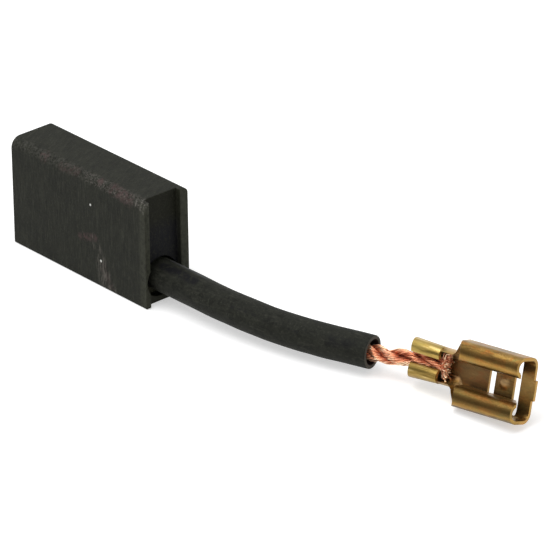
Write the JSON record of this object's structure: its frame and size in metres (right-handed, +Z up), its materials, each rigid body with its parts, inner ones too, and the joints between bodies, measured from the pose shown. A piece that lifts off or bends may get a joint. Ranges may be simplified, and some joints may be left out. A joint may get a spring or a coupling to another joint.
{
  "type": "carbon brush",
  "caption": "Carbon motor brush: a ground carbon block with a tamped, sleeved copper lead that ends in a crimped brass tab receptacle.",
  "frame": {"origin": "middle of the carbon block's bottom face", "axes": "+X along the block to the end that the lead leaves, +Y across the block's width, +Z up; the running face is at -X"},
  "size_m": [0.0739, 0.0145, 0.0135],
  "materials": {
    "carbon": "fine ground carbon, dull, with worn edges",
    "tamping_powder": "rammed copper and graphite powder, matte",
    "copper_rope": "bare copper strands, satin",
    "sleeve": "matte, slightly mottled",
    "terminal_brass": "rolled brass sheet, satin"
  },
  "bodies": {
    "root": {"carbon_block": "carbon", "tamping_plug": "tamping_powder", "shunt": "copper_rope", "insulating_sleeve": "sleeve", "terminal": "terminal_brass"}
  },
  "joints": []
}
